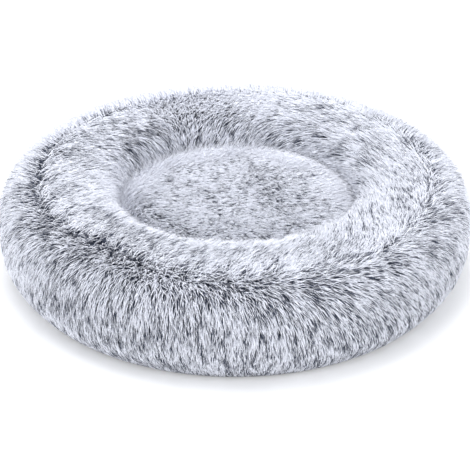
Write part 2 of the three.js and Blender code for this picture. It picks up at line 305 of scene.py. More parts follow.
def lot(place, turn, first=7919, second=104.7):
    """A chance value between -1 and 1 that is the same for every tuft of a lock, and unlike its neighbours'
    because both factors are large."""
    return np.sin(place * first + turn * second)


def pressed(points):
    """Presses points of the pile softly back inside the furthest and highest that it may stand, in place."""
    reach = np.hypot(points[:, 0], points[:, 1])
    tucked = TUCK * np.clip(1 - points[:, 2] / TUCK_TOP, 0, 1) ** 2
    for values, limit in ((reach, PILE_REACH - tucked), (points[:, 2], PILE_TOP)):
        over = np.maximum(values - limit + PRESS, 0)
        values -= over - over / (1 + over / PRESS)
    turn = np.arctan2(points[:, 1], points[:, 0])
    points[:, 0], points[:, 1] = reach * np.cos(turn), reach * np.sin(turn)
    points[:, 2] = np.maximum(points[:, 2], PILE_BOTTOM)


def tufts(name, roots, normals, flow, length, start, end, width, frosting_and_painted_light, surface, body, pull):
    """Tapered tufts of ten points each, as one mesh. Each leaves its root at an angle to the normal, start,
    and bends over towards the flow to another, end. Pull is how far its tip is drawn sideways."""
    count = len(roots)
    levels = np.array([0, 1 / 3, 2 / 3, 1.0])
    thick = np.array([0.75, 1.0, 0.72])
    centre = [roots]
    for k in range(3):
        lean = np.radians(start + (end - start) * (k + 0.5) / 3)[:, None]
        step = np.cos(lean) * normals + np.sin(lean) * flow
        centre.append(centre[-1] + step * (length / 3)[:, None])
    for k in (1, 2, 3):
        centre[k] = centre[k] + pull * levels[k] ** 1.6
        pressed(centre[k])
    side = np.cross(flow, normals)
    verts = np.empty((count, 10, 3))
    for k in range(3):
        ahead = centre[k + 1] - centre[k]
        ahead /= np.linalg.norm(ahead, axis=1)[:, None]
        out = np.cross(side, ahead)
        for c, angle in enumerate((90, 210, 330)):
            a = math.radians(angle)
            reach = (width * thick[k] / 2)[:, None]
            verts[:, 3 * k + c] = centre[k] + reach * (math.cos(a) * side + 0.6 * math.sin(a) * out)
    verts[:, 9] = centre[3]
    quads = np.array(
        [
            [3 * k + c, 3 * k + (c + 1) % 3, 3 * k + 3 + (c + 1) % 3, 3 * k + 3 + c]
            for k in range(2)
            for c in range(3)
        ]
    )
    tris = np.array([[6 + c, 6 + (c + 1) % 3, 9] for c in range(3)] + [[2, 1, 0]])
    base = (np.arange(count) * 10)[:, None, None]
    quad_loops = (quads[None] + base).reshape(count, -1)
    tri_loops = (tris[None] + base).reshape(count, -1)
    loops = np.concatenate([quad_loops, tri_loops], 1).reshape(-1)
    sizes = np.tile([4] * 6 + [3] * 4, count)
    mesh = bpy.data.meshes.new(name)
    mesh.vertices.add(count * 10)
    mesh.vertices.foreach_set("co", verts.reshape(-1).astype(np.float32))
    mesh.loops.add(len(loops))
    mesh.loops.foreach_set("vertex_index", loops.astype(np.int32))
    mesh.polygons.add(len(sizes))
    mesh.polygons.foreach_set("loop_start", np.concatenate([[0], np.cumsum(sizes)[:-1]]).astype(np.int32))
    mesh.update(calc_edges=True)
    mesh.polygons.foreach_set("use_smooth", [True] * len(sizes))
    height = np.repeat([levels[:3]], 3, 0).T.reshape(-1)
    height = np.tile(np.append(height, 1.0), count)
    for label, values in (("along", height), ("frosting_and_painted_light", np.repeat(frosting_and_painted_light, 10))):
        mesh.attributes.new(label, "FLOAT", "POINT").data.foreach_set("value", values.astype(np.float32))
    # Unwrapped by what colours it: frosting across, with room between a tuft's edges, and height upwards.
    across = np.tile(np.append(np.tile([0, 1, 2], 3), 1), count)[loops] * EDGE_GAP
    u = 0.01 + 0.97 * np.repeat(frosting_and_painted_light, 10)[loops] + across
    v = 0.01 + 0.98 * height[loops]
    laid_out = np.stack([u, v], 1).reshape(-1).astype(np.float32)
    mesh.uv_layers.new(name="OFBake").data.foreach_set("uv", laid_out)
    mesh.materials.append(surface)
    made = bpy.data.objects.new(name, mesh)
    bpy.context.scene.collection.objects.link(made)
    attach(made, body)


def round_ring(turn, values):
    """A value that varies smoothly round the ring, from [degrees, value] pairs starting at -180."""
    degrees = (np.degrees(turn) + 180) % 360 - 180
    marks, heights = zip(*values)
    return np.interp(degrees, [*marks, 180], [*heights, heights[0]])


# Backings, each a closed strip of knit.
seam_share = (SEAM_RADIUS - (BED_RADIUS + WELL_RADIUS) / 2) / ((BED_RADIUS - WELL_RADIUS) / 2)
SEAM_ANGLE = math.degrees(math.acos(seam_share ** (OUTER_POWER / 2)))
hem_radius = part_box("base_panel")[1][0] - HEM_LAP
hem_z = section(HEM_ANGLE, 0, BACKING_INSET)[1][0]
hem = ([hem_radius, hem_radius], [hem_z + BACKING_THICKNESS, hem_z])
for label, start, end, turned_in in (
    ("outer", HEM_ANGLE, SEAM_ANGLE, hem),
    ("inner", SEAM_ANGLE + SEAM_GAP, WELL_ANGLE, ([], [])),
):
    face = section(start, end, BACKING_INSET)
    back_end = start + HEM_TURN if turned_in is hem else start
    back = section(end, back_end, BACKING_INSET + BACKING_THICKNESS)
    piece(
        label + "_panel_backing",
        *turned(*[np.concatenate([face[k], back[k], turned_in[k]]) for k in (0, 1)], closed=True),
        knit,
        "bed",
        "plush",
        (label + "_fur_panel",),
    )

# How the pile lies round the ring, each as pairs of bearing in degrees and value. It parts along the shoulder
# or a little inside its seam, and at the front it is combed to the right. At the back the outer pile hangs
# straight.
PARTING_SHIFT = [(-180, 4), (-150, 6), (-130, 16), (-110, 10), (-90, 4), (-60, 0), (150, 0)]  # mm inwards
PARTED = [(-180, 1), (-120, 1), (-80, 0.8), (-30, 0.6), (20, 0.35), (50, 0.1), (130, 0.1), (155, 0.6)]
OUTER_SPREAD = 26 * MM  # of the parting
INNER_SPREAD = [(-180, 30), (-150, 44), (-90, 44), (-50, 26), (150, 26)]  # mm
COMB_OUTER = [(-180, 5), (-150, 15), (-125, 35), (-90, 50), (-45, 45), (0, 25), (60, 5), (140, 0)]  # degrees
COMB_INNER = [(-180, 0), (-150, 25), (-120, 52), (-60, 60), (0, 58), (50, 50), (90, 35), (130, 8)]  # degrees
COMB_FADE = 60 * MM  # below the parting the outer pile soon hangs straight
# How much frosting shows: at 0 the dye reaches nearly to the tip, and at 1 it stops by the root.
FROST_OUTER = [(-180, 0.3), (-150, 0.42), (-60, 0.41), (-10, 0.38), (20, 0.46), (90, 0.5), (150, 0.45)]
FROST_INNER = [(-180, 0.74), (-130, 0.64), (-60, 0.66), (0, 0.70), (50, 0.68), (90, 0.62), (140, 0.64)]
DYE_AT_PARTING = [
    (-180, 0.22),
    (-130, 0.2),
    (-105, 0.06),
    (-75, 0.06),
    (-40, 0.05),
    (20, 0.03),
    (100, 0.0),
    (150, 0.1),
]
OUTER_LIMIT, INNER_LIMIT = -0.55, -0.66  # of the lot, below which a third and a quarter are streaks
OUTER_STREAK, INNER_STREAK = 0.4, 0.68  # how much deeper the dye is in a streak
OUTER_SHEEN, INNER_SHEEN = 0.22, 0.27  # how much more frosting shows between the streaks
# Places where the pile lies smoother or has been ruffled: bearing and section angle in degrees, the spread of
# each, how much more frosting shows there, and how far the pile stands up.
LIE_OF_PILE = [
    (105, 72, 75, 28, 0.50, 0.0),
    (178, 122, 38, 32, 0.22, 0.0),
    (-5, 118, 45, 34, 0.10, 0.0),
    (-92, 116, 50, 20, 0.16, 0.3),
    (-92, 150, 60, 30, 0.20, 0.9),
    (128, 142, 26, 16, 0.0, 0.6),
    (88, 152, 34, 12, 0.04, 0.6),
    (108, 116, 40, 16, 0.06, 0.3),
    (152, 108, 22, 18, -0.10, 0.4),
    (-172, 80, 13, 8, -0.14, 0.4),
    (-140, 84, 18, 10, -0.08, 0.2),
    (-108, 72, 14, 12, 0.26, 0.0),
    (-110, 96, 20, 7, -0.36, 0.2),
    (-132, 102, 12, 7, -0.22, 0.2),
    (110, 80, 11, 24, 0.40, 0.0),
    (50, 93, 24, 10, -0.36, 0.1),
    (160, 90, 22, 10, -0.24, 0.2),
    (145, 68, 30, 7, 0.10, 0.0),
    (-128, 115, 20, 12, 0.12, 0.0),
    (132, 92, 12, 16, -0.28, 0.2),
    (172, 104, 12, 12, -0.22, 0.1),
    (-139, 93, 15, 11, -0.30, 0.3),
    (-168, 86, 9, 6, -0.30, 0.2),
    (12, 109, 14, 14, -0.22, 0.1),
    (30, 155, 20, 14, 0.30, 0.3),
    (-32, 80, 10, 6, 0.16, 0.0),
]

# Pile of both panels: roots, and the side of the parting that each is on.
pile_r, pile_z, pile_angle = section(HEM_ANGLE + 0.5, WELL_ANGLE, BACKING_INSET, 400)
place, turn, along = scattered(pile_r, pile_z, PILE_SPACING, CHANCE)
tuft_count = len(turn)
parting_place = np.interp(SEAM_ANGLE, pile_angle, along) + round_ring(turn, PARTING_SHIFT) * MM
parting_place = parting_place + swell(turn, 0 * turn, 6 * MM, 3) + CHANCE.normal(0, 9 * MM, tuft_count)
outer = place < parting_place
apart = np.abs(place - parting_place)
spread = np.where(outer, OUTER_SPREAD, round_ring(turn, INNER_SPREAD) * MM)
near_parting = round_ring(turn, PARTED) * np.exp(-((apart / spread) ** 2))
roots, normals, up, round_way = on_surface(pile_r, pile_z, along, place, turn)

# Which way each tuft lies: down the outer panel and in over the inner one, combed round the ring.
comb_outer = round_ring(turn, COMB_OUTER) * (0.15 + 0.85 * np.exp(-apart / COMB_FADE))
comb = np.where(outer, comb_outer, round_ring(turn, COMB_INNER)) + swell(turn, place, 9, 4)
comb = np.radians(comb + CHANCE.normal(0, 1, tuft_count) * (8 + 24 * near_parting))[:, None]
flow = np.cos(comb) * np.where(outer[:, None], -up, up) + np.sin(comb) * round_way

# Tips draw together in locks, mostly sideways.
lock_place, lock_turn = nearest_lock(pile_r, along, place, turn, LOCK_LENGTH, LOCK_BREADTH, CHANCE)
lock_lot = lot(lock_place, lock_turn)
pull = on_surface(pile_r, pile_z, along, lock_place, lock_turn)[0] - roots
pull -= 0.8 * flow * np.sum(pull * flow, 1)[:, None]
pull *= 0.75

smoother, ruffled = np.zeros(tuft_count), np.zeros(tuft_count)
section_angle = np.interp(place, along, pile_angle)
for bearing, angle, wide, high, change, lift in LIE_OF_PILE:
    off = (np.degrees(turn) - bearing + 180) % 360 - 180
    near = np.exp(-((off / wide) ** 2) - ((section_angle - angle) / high) ** 2)
    smoother += change * near
    ruffled += lift * near
# Down in the well the pile is shorter and lies flatter.
in_well = np.clip((section_angle - 145) / 40, 0, 1) * (1 - np.clip(ruffled, 0, 1))
full = CHANCE.uniform(0.8, 1.1, tuft_count) * (1 + 0.08 * lock_lot)
length = PILE_LENGTH * full * (1 - 0.2 * in_well) * (1 + 0.2 * ruffled)
start = 42 - 16 * near_parting - 12 * ruffled + 12 * in_well + CHANCE.normal(0, 6, tuft_count)
end = 84 - 14 * near_parting - 16 * ruffled + CHANCE.normal(0, 6, tuft_count)
width = TUFT_WIDTH * CHANCE.uniform(0.7, 1.25, tuft_count)

# How much frosting each tuft shows: by place, by lock, in streaks where the dye shows, and less towards the
# hem, which is painted shade on the side that turns under.
tone = np.where(outer, round_ring(turn, FROST_OUTER), round_ring(turn, FROST_INNER))
tone = tone - round_ring(turn, DYE_AT_PARTING) * near_parting + smoother
streak = nearest_lock(pile_r, along, place, turn, STREAK_LENGTH, STREAK_BREADTH, CHANCE)
in_streak = lot(*streak, *STREAK_LOT) < np.where(outer, OUTER_LIMIT, INNER_LIMIT)
tone = tone + swell(turn, place, 0.06, 5, 9) + (0.1 + 0.12 * ruffled) * lock_lot
evenness = np.clip(np.where(outer, 1.8, 0.9) * smoother, 0, 0.9)
dye = np.where(outer, OUTER_STREAK, INNER_STREAK) * (1 - evenness)
tone = tone + np.where(in_streak, -dye, np.where(outer, OUTER_SHEEN, INNER_SHEEN))
# Painted shade: darker below the widest line, most at the hem, where the side turns down away from the light.
tone = tone - 0.08 * np.clip((20 - section_angle) / 20, 0, 1)
frost_and_painted_light = np.clip(tone + CHANCE.normal(0, 0.17, tuft_count), 0, 1)

order = np.argsort(turn)
for number, chosen in enumerate(np.array_split(order, math.ceil(tuft_count / PIECE_TUFTS))):
    tufts(
        f"bolster_pile_{number + 1:02d}",
        roots[chosen],
        normals[chosen],
        flow[chosen],
        length[chosen],
        start[chosen],
        end[chosen],
        width[chosen],
        frost_and_painted_light[chosen],
        plush,
        "bed",
        pull[chosen],
    )


# ---------------------------------------------------------------------------------------------------------
# Base: a disc of coated Oxford cloth with printed rubber dots, a layer of wadding and the quilted cloth floor
# of the well. A band of the same cloth stands up round the disc's edge, sewn to it and to the outer panel.

BASE_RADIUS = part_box("base_panel")[1][0]
PINHOLE = 0.3 * MM  # left in the middle of a turned disc
BASE_CLOTH = 0.6 * MM
CLOTH_Z = 0.6 * MM  # the cloth rides on its dots
WADDING_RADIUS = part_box("base_wadding")[1][0]
WADDING_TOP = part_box("base_wadding")[1][2]
FLOOR_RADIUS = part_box("well_floor_panel")[1][0]
FLOOR_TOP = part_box("well_floor_panel")[1][2]
QUILT_PITCH = 62 * MM
QUILT_DEPTH = 1.3 * MM
BAND_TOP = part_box("base_side_band")[1][2]
BAND_START, BAND_END = 155.1, 384.9  # degrees from +X, either side of the zip
BAND_STEPS = 400
DOT_PITCH = 19 * MM
DOT_RADIUS = 2.4 * MM
DOT_MARGIN = 16 * MM
WEAVE_PITCH = 2.4 * MM  # real threads are 0.5 mm apart, too fine to show
OXFORD_GREY = "#6d7076"
DOT_GREY = "#45484d"
WADDING_WHITE = "#f1f1ee"
THREAD_GREY = "#878a92"
WAVE_PERIOD = 2 * math.pi / 20  # of a wave texture at scale 1


def lay(made, across, along):
    """Stores how cloth lies on each point of a piece, in metres across and along its weave."""
    values = np.stack([across, along, 0 * across], 1).astype(np.float32).reshape(-1)
    made.data.attributes.new("lay", "FLOAT_VECTOR", "POINT").data.foreach_set("vector", values)


def weave(tree, shader, pitch, depth, colour):
    """Crossed threads as bump, and a slight unevenness of the dye."""
    lie = add(tree, "ShaderNodeAttribute", {"attribute_name": "lay"})
    threads = [
        add(
            tree,
            "ShaderNodeTexWave",
            {"bands_direction": direction},
            Vector=lie.outputs["Vector"],
            Scale=WAVE_PERIOD / pitch,
        )
        for direction in "XY"
    ]
    higher = add(
        tree,
        "ShaderNodeMath",
        {"operation": "MAXIMUM"},
        _0=threads[0].outputs["Fac"],
        _1=threads[1].outputs["Fac"],
    )
    bump = add(tree, "ShaderNodeBump", Height=higher.outputs[0], Distance=depth, Strength=0.5)
    tree.links.new(bump.outputs[0], shader.inputs["Normal"])
    dye = add(tree, "ShaderNodeTexNoise", Vector=lie.outputs["Vector"], Scale=1 / (40 * MM), Detail=4.0)
    shade = add(tree, "ShaderNodeMapRange", _0=dye.outputs["Fac"], To_Min=0.85, To_Max=1.15)
    tone = add(tree, "ShaderNodeMix", {"data_type": "RGBA", "blend_type": "MULTIPLY"}, _0=1.0)
    tone.inputs["A"].default_value = linear(colour)
    tree.links.new(shade.outputs[0], tone.inputs["B"])
    tree.links.new(tone.outputs["Result"], shader.inputs["Base Color"])


def repeated(points, faces, places, ways):
    """Copies of a small mesh. Ways holds the directions of each copy's own X, Y and Z."""
    points = np.asarray(points)
    moved = np.asarray(places)[:, None, :] + np.einsum("pk,nkc->npc", points, np.asarray(ways))
    offsets = np.arange(len(places)) * len(points)
    return moved.reshape(-1, 3), [[i + offset for i in face] for offset in offsets for face in faces]


def domed(outline_radii, heights, sides):
    """A small turned body about its own Z, closed at both ends."""
    turn = np.arange(sides) * 2 * np.pi / sides
    points = [(r * math.cos(t), r * math.sin(t), z) for r, z in zip(outline_radii, heights) for t in turn]
    rings = range(len(outline_radii) - 1)
    faces = [
        (k * sides + i, k * sides + (i + 1) % sides, (k + 1) * sides + (i + 1) % sides, (k + 1) * sides + i)
        for k in rings
        for i in range(sides)
    ]
    last = (len(outline_radii) - 1) * sides
    return points, [*faces, tuple(range(sides))[::-1], tuple(range(last, last + sides))]


def stitching(name, radius, height, start, end, facing, body, slot, pitch=3.6 * MM):
    """A row of lockstitches round an arc, on a face that looks out, or down."""
    count = int(math.radians(end - start) * radius / pitch)
    turn = np.radians(np.linspace(start, end, count, endpoint=False))
    outward = np.stack([np.cos(turn), np.sin(turn), 0 * turn], 1)
    run = np.stack([-np.sin(turn), np.cos(turn), 0 * turn], 1)
    upward = np.tile([0.0, 0.0, 1.0], (count, 1))
    places = radius * outward + height * upward
    length, thick = 0.76 * pitch, 0.32 * MM
    ends, shoulders = length / 2, 0.3 * length
    shape = domed([0.4 * thick, thick, thick, 0.4 * thick], [-ends, -shoulders, shoulders, ends], 6)
    ways = np.stack([upward, outward, run] if facing == "out" else [outward, upward, run], 1)
    return piece(name, *repeated(*shape, places, ways), thread, body, slot)


def swept(radii, heights, start, end, steps):
    """A closed section carried round an arc between two angles in degrees, with closed ends."""
    radii, heights = np.asarray(radii, float), np.asarray(heights, float)
    turn = np.radians(np.linspace(start, end, steps))[:, None]
    points = np.stack([radii * np.cos(turn), radii * np.sin(turn), heights + 0 * turn], -1).reshape(-1, 3)
    count = len(radii)
    faces = [
        (i * count + j, (i + 1) * count + j, (i + 1) * count + (j + 1) % count, i * count + (j + 1) % count)
        for i in range(steps - 1)
        for j in range(count)
    ]
    last = (steps - 1) * count
    return points, [*faces, tuple(range(count)), tuple(range(last, last + count))[::-1]]


def rounded_strip(inner, outer, bottom, top, rows=6):
    """Section of a thin upright strip with rounded edges: radii and heights."""
    half = (outer - inner) / 2
    ends = np.radians(np.linspace(0, 180, 5))[1:-1]
    across, rise = half * np.cos(ends), half * np.sin(ends)
    up = np.linspace(bottom + half, top - half, rows)
    radii = [*[outer] * rows, *(inner + half + across), *[inner] * rows, *(inner + half - across)]
    heights = [*up, *(top - half + rise), *up[::-1], *(bottom + half - rise)]
    return radii, heights


# 600-denier Oxford polyester with a coating on its inner side: matt, with a visible basket of threads.
oxford, tree, shader = material("coated Oxford polyester", Roughness=0.75)
weave(tree, shader, WEAVE_PITCH, 0.4 * MM, OXFORD_GREY)
# Spun polyester sewing thread.
thread, tree, shader = material("spun polyester thread", Roughness=0.6, Base_Color=linear(THREAD_GREY))
uneven_surface(tree, shader, 0.6 * MM, 0.2 * MM)
# Rubber printed through a screen and cured: dark, smooth and a little glossy.
rubber, tree, shader = material("screen-printed rubber", Roughness=0.45, IOR=1.52)
shader.inputs["Base Color"].default_value = linear(DOT_GREY)
uneven_surface(tree, shader, 1.5 * MM, 0.1 * MM)
# Thermally bonded polyester wadding.
wadding_white, tree, shader = material("bonded polyester wadding", Roughness=1.0)
shader.inputs["Base Color"].default_value = linear(WADDING_WHITE)
uneven_surface(tree, shader, 4 * MM, 2 * MM)

# The cloth underside and its dots.
radii = np.linspace(PINHOLE, BASE_RADIUS - 0.4 * MM, 60)
points, faces = turned(
    np.concatenate([radii, radii[::-1]]),
    np.concatenate([0 * radii + CLOTH_Z, 0 * radii + CLOTH_Z + BASE_CLOTH]),
    closed=True,
)
base_cloth = piece("base_cloth", points, faces, oxford, "bed", "oxford", ("base_panel",))
lay(base_cloth, points[:, 0], points[:, 1])

grid = np.arange(-20, 21)
dot_x, dot_y = np.meshgrid(grid * DOT_PITCH, grid * DOT_PITCH * math.sqrt(3) / 2)
dot_x = dot_x + (np.arange(len(grid)) % 2)[:, None] * DOT_PITCH / 2
inside = np.hypot(dot_x, dot_y) < BASE_RADIUS - DOT_MARGIN
places = np.stack([dot_x[inside], dot_y[inside], 0 * dot_x[inside]], 1)
dot = domed(
    [0.35 * DOT_RADIUS, 0.8 * DOT_RADIUS, DOT_RADIUS, DOT_RADIUS],
    [0.0, 0.12 * MM, 0.4 * MM, CLOTH_Z + 0.1 * MM],
    12,
)
dots = repeated(*dot, places, np.tile(np.eye(3), (len(places), 1, 1)))
piece("base_grip_dots", *dots, rubber, "bed", "oxford")

# Wadding, bulging at its edge.
points, faces = turned(
    [PINHOLE, WADDING_RADIUS - 2 * MM, WADDING_RADIUS, WADDING_RADIUS - 2 * MM, PINHOLE],
    [CLOTH_Z + BASE_CLOTH + 0.3 * MM] * 2 + [5 * MM] + [WADDING_TOP - 1 * MM] * 2,
    closed=True,
)
wadding = piece("base_quilt_wadding", points, faces, wadding_white, "bed", "fibre", ("base_wadding",))

# Floor cloth of the well, quilted through the wadding in squares that stand on a corner.
radii = np.linspace(PINHOLE, FLOOR_RADIUS, 110)
points, faces = turned(
    np.concatenate([radii[::-1], radii]),
    np.concatenate([0 * radii + FLOOR_TOP, 0 * radii + FLOOR_TOP - 0.5 * MM]),
    around=360,
    closed=True,
)
from_line = [
    np.abs((points[:, 0] + way * points[:, 1]) / QUILT_PITCH % 1 - 0.5) * QUILT_PITCH
    for way in (-1, 1)
]
points[:, 2] -= QUILT_DEPTH * np.exp(-np.minimum(*from_line) / (5 * MM))
quilted = piece("well_floor_cloth", points, faces, oxford, "bed", "oxford", ("well_floor_panel",))
lay(quilted, points[:, 0], points[:, 1])

# Band, puckered a little along its upper seam.
strip = rounded_strip(BASE_RADIUS - 1 * MM, BASE_RADIUS - 0.2 * MM, CLOTH_Z + BASE_CLOTH, BAND_TOP)
points, faces = swept(*strip, BAND_START, BAND_END, BAND_STEPS)
turn = np.arctan2(points[:, 1], points[:, 0])
pucker = 0.12 * MM * np.sin(turn * 190) * np.exp(-(BAND_TOP - points[:, 2]) / (6 * MM))
points[:, :2] *= (1 + pucker / BASE_RADIUS)[:, None]
band = piece("base_band", points, faces, oxford, "bed", "oxford", ("base_side_band",))
band_turn = np.repeat(np.radians(np.linspace(BAND_START, BAND_END, BAND_STEPS)), len(strip[0]))
lay(band, BASE_RADIUS * band_turn, points[:, 2])
stitching("base_edge_stitches", BASE_RADIUS - 6 * MM, CLOTH_Z, 0, 360, "down", "bed", "oxford")
band_face, band_row = BASE_RADIUS - 0.15 * MM, BAND_TOP - 5 * MM
stitching("band_stitches", band_face, band_row, BAND_START, BAND_END, "out", "bed", "oxford")


# ---------------------------------------------------------------------------------------------------------
# Zip at the back: a size 5 nylon coil sewn to two woven tapes, with a pressed stop at each end, and a
# die-cast slider whose stamped pull lies along the chain. The coils curve round with the band.

ZIP_START, ZIP_END = 25, 155  # degrees from +X
ZIP_STEPS = 260
TAPE_STITCH = 2.4 * MM
STOP_LENGTH = 3 * MM
TAPE_RADIUS = BASE_RADIUS - 0.6 * MM
TAPE_THICKNESS = 0.6 * MM
CHAIN_Z = 14.75 * MM
COIL_PITCH = 1.35 * MM
WIRE_RADIUS = 0.34 * MM
WIRE_SIDES, WIND_STEPS = 5, 12  # round the wire, and in each wind of the coil
COIL_HALF_DEPTH = 1.6 * MM - WIRE_RADIUS
COIL_HALF_WIDTH = 1.07 * MM - WIRE_RADIUS
COIL_OFFSET = 1.675 * MM  # from the middle of the chain to the middle of each coil
TAPE_OFFSET = 3.05 * MM
SLIDER_AT = 27.004  # degrees from +X
SLIDER_LENGTH, SLIDER_WIDTH, SLIDER_PLATE = 11 * MM, 9 * MM, 1.4 * MM
PLATE_OFFSET = 2.8 * MM  # from the tape's middle to the middle of each plate
SLIDER_FACE = 3.5 * MM
PULL_PIVOT = 1.2 * MM
PULL_LENGTH, PULL_WIDTH, PULL_THICKNESS = 30 * MM, 8 * MM, 1 * MM
TAPE_GREY = "#5c5f66"
COIL_GREY = "#54575e"
ZINC_GREY = "#8d9096"

# Narrow-loom polyester tape.
tape, tree, shader = material("woven polyester tape", Roughness=0.8)
weave(tree, shader, 1.2 * MM, 0.25 * MM, TAPE_GREY)
# Extruded nylon monofilament, dyed, wound into a coil and set by heat.
nylon, tree, shader = material("nylon monofilament", Roughness=0.35, IOR=1.53, Base_Color=linear(COIL_GREY))
uneven_surface(tree, shader, 3 * MM, 0.05 * MM)
# Zinc cast in a die, tumbled and plated with a grey nickel finish.
zinc, tree, shader = material("nickel-plated zinc", Metallic=1.0, Roughness=0.32)
shader.inputs["Base Color"].default_value = linear(ZINC_GREY)
uneven_surface(tree, shader, 2 * MM, 0.03 * MM)

for side, bottom, top in (
    ("lower", CLOTH_Z + BASE_CLOTH, CHAIN_Z - TAPE_OFFSET),
    ("upper", CHAIN_Z + TAPE_OFFSET, BAND_TOP),
):
    strip = rounded_strip(TAPE_RADIUS - TAPE_THICKNESS / 2, TAPE_RADIUS + TAPE_THICKNESS / 2, bottom, top)
    points, faces = swept(*strip, ZIP_START, ZIP_END, ZIP_STEPS)
    made = piece(f"zip_{side}_tape", points, faces, tape, "bed", "tape", (f"zip_tape_{side}",))
    tape_turn = np.repeat(np.radians(np.linspace(ZIP_START, ZIP_END, ZIP_STEPS)), len(strip[0]))
    lay(made, TAPE_RADIUS * tape_turn, points[:, 2])
    sign = 1 if side == "upper" else -1
    stitching(
        f"zip_{side}_tape_stitches",
        TAPE_RADIUS + TAPE_THICKNESS / 2,
        CHAIN_Z + sign * (TAPE_OFFSET + 1 * MM),
        ZIP_START,
        ZIP_END,
        "out",
        "bed",
        "tape",
        TAPE_STITCH,
    )
    # The coil: one wire wound round and round along the edge of its tape.
    stop_turn = math.degrees(2 * STOP_LENGTH / TAPE_RADIUS)
    first, last = math.radians(ZIP_START + stop_turn), math.radians(ZIP_END - stop_turn)
    winds = int((last - first) * TAPE_RADIUS / COIL_PITCH)
    phase = np.linspace(0, 2 * np.pi * winds, winds * WIND_STEPS)
    turn = np.linspace(first, last, len(phase))
    out, rise = np.cos(phase), sign * np.sin(phase)
    radial = np.stack([np.cos(turn), np.sin(turn), 0 * turn], 1)
    middle = (TAPE_RADIUS + COIL_HALF_DEPTH * out)[:, None] * radial
    middle[:, 2] = CHAIN_Z + sign * COIL_OFFSET + COIL_HALF_WIDTH * rise
    away = out[:, None] * radial + rise[:, None] * np.array([0, 0, 1.0])
    ahead = np.gradient(middle, axis=0)
    ahead /= np.linalg.norm(ahead, axis=1)[:, None]
    beside = np.cross(ahead, away)
    rim = [math.cos(a) * away + math.sin(a) * beside for a in np.arange(WIRE_SIDES) * 2 * np.pi / WIRE_SIDES]
    points = (middle[:, None] + WIRE_RADIUS * np.stack(rim, 1)).reshape(-1, 3)
    faces = [
        (i + j, i + (j + 1) % WIRE_SIDES, i + WIRE_SIDES + (j + 1) % WIRE_SIDES, i + WIRE_SIDES + j)
        for i in range(0, (len(phase) - 1) * WIRE_SIDES, WIRE_SIDES)
        for j in range(WIRE_SIDES)
    ]
    piece(f"zip_{side}_coil", points, faces, nylon, "bed", "coil", (f"zip_coil_{side}",))

# Stops: zinc clamps pressed round both coils.
STOP_DEPTH, STOP_WIDTH = 3 * MM, 5.2 * MM
for end, start in (("top", ZIP_START + stop_turn / 2), ("bottom", ZIP_END - stop_turn)):
    strip = rounded_strip(
        TAPE_RADIUS - STOP_DEPTH / 2,
        TAPE_RADIUS + STOP_DEPTH / 2,
        CHAIN_Z - STOP_WIDTH / 2,
        CHAIN_Z + STOP_WIDTH / 2,
    )
    clamp = swept(*strip, start, start + 0.45 * stop_turn, 5)
    piece(f"zip_{end}_clamp", *clamp, zinc, "bed", "metal", (f"zip_{end}_stop",))


def stamped(outline, hole, thickness, edge):
    """A flat plate with rounded edges, cut to an outline with an optional hole: points and faces."""
    curve = bpy.data.curves.new("outline", "CURVE")
    curve.dimensions, curve.fill_mode = "2D", "BOTH"
    curve.extrude, curve.bevel_depth, curve.bevel_resolution = thickness / 2 - edge, edge, 2
    curve.offset = -edge
    for path in filter(None, (outline, hole)):
        spline = curve.splines.new("POLY")
        spline.points.add(len(path) - 1)
        spline.points.foreach_set("co", [value for x, y in path for value in (x, y, 0, 1)])
        spline.use_cyclic_u = True
    holder = bpy.data.objects.new("outline", curve)
    bpy.context.scene.collection.objects.link(holder)
    shape = bpy.data.meshes.new_from_object(holder.evaluated_get(bpy.context.evaluated_depsgraph_get()))
    points = np.array([vertex.co[:] for vertex in shape.vertices])
    faces = [tuple(polygon.vertices) for polygon in shape.polygons]
    bpy.data.objects.remove(holder)
    bpy.data.curves.remove(curve)
    bpy.data.meshes.remove(shape)
    return points, faces


def rounded(width, height, radius, middle=(0, 0)):
    """Outline of a rectangle with round corners."""
    corners = [(1, 1, 0), (-1, 1, 90), (-1, -1, 180), (1, -1, 270)]
    return [
        (
            middle[0] + sx * (width / 2 - radius) + radius * math.cos(math.radians(first + step)),
            middle[1] + sy * (height / 2 - radius) + radius * math.sin(math.radians(first + step)),
        )
        for sx, sy, first in corners
        for step in range(0, 91, 18)
    ]


def on_chain(points, axes, offset=0.0):
    """Moves a part built about its own X, Y and Z to the slider: axes says which of out, along and up each
    of them is, and offset is outwards from the tape's middle."""
    local = np.zeros_like(points)
    for column, axis in enumerate(axes):
        local[:, "oau".index(axis)] = points[:, column]
    turn = math.radians(SLIDER_AT)
    out, run = np.array([math.cos(turn), math.sin(turn), 0]), np.array([-math.sin(turn), math.cos(turn), 0])
    start = TAPE_RADIUS * out + np.array([0, 0, CHAIN_Z])
    local[:, 0] += offset
    return start + local[:, :1] * out + local[:, 1:2] * run + local[:, 2:] * np.array([0, 0, 1.0])


def joined(parts):
    """Several parts as one mesh."""
    points, faces, count = [], [], 0
    for part_points, part_faces in parts:
        faces += [[i + count for i in face] for face in part_faces]
        points.append(part_points)
        count += len(part_points)
    return np.concatenate(points), faces


# The plates are wider at the shoulders, where the open coils enter, which face the top stop.
half, shoulder, tail = SLIDER_LENGTH / 2, SLIDER_WIDTH / 2, SLIDER_WIDTH / 2 - 1 * MM
upper_edge = [
    (half, tail - 0.8 * MM),
    (half - 0.8 * MM, tail),
    (half - 4 * MM, shoulder - 0.3 * MM),
    (-half + 1 * MM, shoulder),
    (-half, shoulder - 1.4 * MM),
    (-half + 0.9 * MM, 1 * MM),
]
plate_outline = [*upper_edge, *[(x, -y) for x, y in upper_edge[::-1]]]
plate = stamped(plate_outline, None, SLIDER_PLATE, 0.3 * MM)
web = stamped(rounded(7 * MM, 5.6 * MM, 1 * MM), None, 0.8 * MM, 0.2 * MM)
